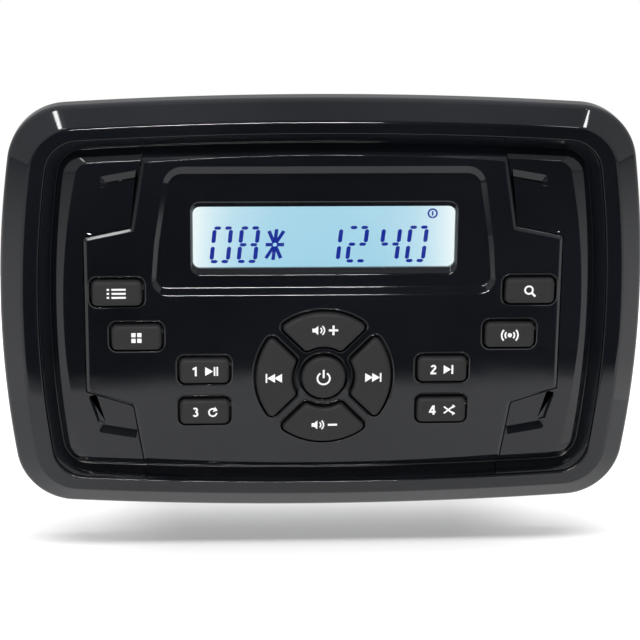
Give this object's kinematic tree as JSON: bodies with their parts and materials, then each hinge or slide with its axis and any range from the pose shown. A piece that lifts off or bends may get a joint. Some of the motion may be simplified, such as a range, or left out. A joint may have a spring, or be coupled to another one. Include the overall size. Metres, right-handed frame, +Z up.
{
  "type": "car stereo",
  "caption": "Flush panel-mounted car stereo: bowed gloss trim frame, raised plate with a lit display, sprung push keys round a circular pad, and a boxed chassis with heat sink and rear sockets.",
  "frame": {"origin": "middle of the panel screw pattern, on the panel's front face", "axes": "+X to the right as seen from the front, +Z up, +Y back through the panel"},
  "size_m": [0.165, 0.0674, 0.1088],
  "materials": {
    "gloss_black": "polished",
    "key_rubber": "matte",
    "clear_lens": "clear",
    "display_glass": "backlit",
    "light_guide": "frosted",
    "mat_rubber": "matte",
    "circuit_board": "lacquered",
    "brass": "plated",
    "pin_block": "moulded",
    "lamp": "clear",
    "case_black": "moulded",
    "chip_black": "moulded",
    "capacitor_sleeve": "shrink sleeve",
    "copper_winding": "enamelled wire",
    "tinned_steel": "tinned",
    "module_blue": "lacquered",
    "dark_aluminium": "anodised",
    "fuse_red": "translucent",
    "plated_sheet": "zinc plated",
    "steel": "zinc plated"
  },
  "bodies": {
    "housing": {"front_frame": "gloss_black", "centre_plate": "gloss_black", "left_screw_cover": "gloss_black", "right_screw_cover": "gloss_black", "display_lens": "clear_lens", "lcd_glass": "display_glass", "light_guide": "light_guide", "keypad_mat": "mat_rubber", "key_board": "circuit_board", "contact_pads": "brass", "key_lights": "lamp", "front_case": "case_black", "panel_gasket": "mat_rubber", "plate_screws": "steel", "board_screws": "steel", "case_screws": "steel", "chassis_tray": "plated_sheet", "chassis_lid": "plated_sheet", "lid_screws": "steel", "main_board": "circuit_board", "main_board_screws": "steel", "header_pins": "pin_block", "header_socket": "case_black", "amplifier_chip": "chip_black", "filter_capacitors": "capacitor_sleeve", "choke_coil": "copper_winding", "tuner_can": "tinned_steel", "control_chip": "chip_black", "wireless_module": "module_blue", "heat_sink": "dark_aluminium", "heat_sink_screws": "steel", "antenna_socket": "tinned_steel", "harness_socket": "case_black", "harness_pins": "brass", "line_sockets": "tinned_steel", "fuse_holder": "case_black", "blade_fuse": "fuse_red", "support_stud": "steel", "stud_nut": "steel"},
    "key_select_body": {"key_select": "key_rubber"},
    "key_mode_body": {"key_mode": "key_rubber"},
    "key_scan_body": {"key_scan": "key_rubber"},
    "key_band_body": {"key_band": "key_rubber"},
    "key_1_body": {"key_1": "key_rubber"},
    "key_2_body": {"key_2": "key_rubber"},
    "key_3_body": {"key_3": "key_rubber"},
    "key_4_body": {"key_4": "key_rubber"},
    "key_volume_up_body": {"key_volume_up": "key_rubber"},
    "key_volume_down_body": {"key_volume_down": "key_rubber"},
    "key_previous_body": {"key_previous": "key_rubber"},
    "key_next_body": {"key_next": "key_rubber"},
    "key_power_body": {"key_power": "key_rubber"}
  },
  "joints": [
    {"name": "key_select_press", "type": "slide", "parent": "housing", "child": "key_select_body", "axis": [0, 1, 0], "range_m": [0, 0.0009], "stiffness_N_per_m": 1500},
    {"name": "key_mode_press", "type": "slide", "parent": "housing", "child": "key_mode_body", "axis": [0, 1, 0], "range_m": [0, 0.0009], "stiffness_N_per_m": 1500},
    {"name": "key_scan_press", "type": "slide", "parent": "housing", "child": "key_scan_body", "axis": [0, 1, 0], "range_m": [0, 0.0009], "stiffness_N_per_m": 1500},
    {"name": "key_band_press", "type": "slide", "parent": "housing", "child": "key_band_body", "axis": [0, 1, 0], "range_m": [0, 0.0009], "stiffness_N_per_m": 1500},
    {"name": "key_1_press", "type": "slide", "parent": "housing", "child": "key_1_body", "axis": [0, 1, 0], "range_m": [0, 0.0009], "stiffness_N_per_m": 1500},
    {"name": "key_2_press", "type": "slide", "parent": "housing", "child": "key_2_body", "axis": [0, 1, 0], "range_m": [0, 0.0009], "stiffness_N_per_m": 1500},
    {"name": "key_3_press", "type": "slide", "parent": "housing", "child": "key_3_body", "axis": [0, 1, 0], "range_m": [0, 0.0009], "stiffness_N_per_m": 1500},
    {"name": "key_4_press", "type": "slide", "parent": "housing", "child": "key_4_body", "axis": [0, 1, 0], "range_m": [0, 0.0009], "stiffness_N_per_m": 1500},
    {"name": "key_volume_up_press", "type": "slide", "parent": "housing", "child": "key_volume_up_body", "axis": [0, 1, 0], "range_m": [0, 0.0009], "stiffness_N_per_m": 1500},
    {"name": "key_volume_down_press", "type": "slide", "parent": "housing", "child": "key_volume_down_body", "axis": [0, 1, 0], "range_m": [0, 0.0009], "stiffness_N_per_m": 1500},
    {"name": "key_previous_press", "type": "slide", "parent": "housing", "child": "key_previous_body", "axis": [0, 1, 0], "range_m": [0, 0.0009], "stiffness_N_per_m": 1500},
    {"name": "key_next_press", "type": "slide", "parent": "housing", "child": "key_next_body", "axis": [0, 1, 0], "range_m": [0, 0.0009], "stiffness_N_per_m": 1500},
    {"name": "key_power_press", "type": "slide", "parent": "housing", "child": "key_power_body", "axis": [0, 1, 0], "range_m": [0, 0.0009], "stiffness_N_per_m": 1500}
  ]
}
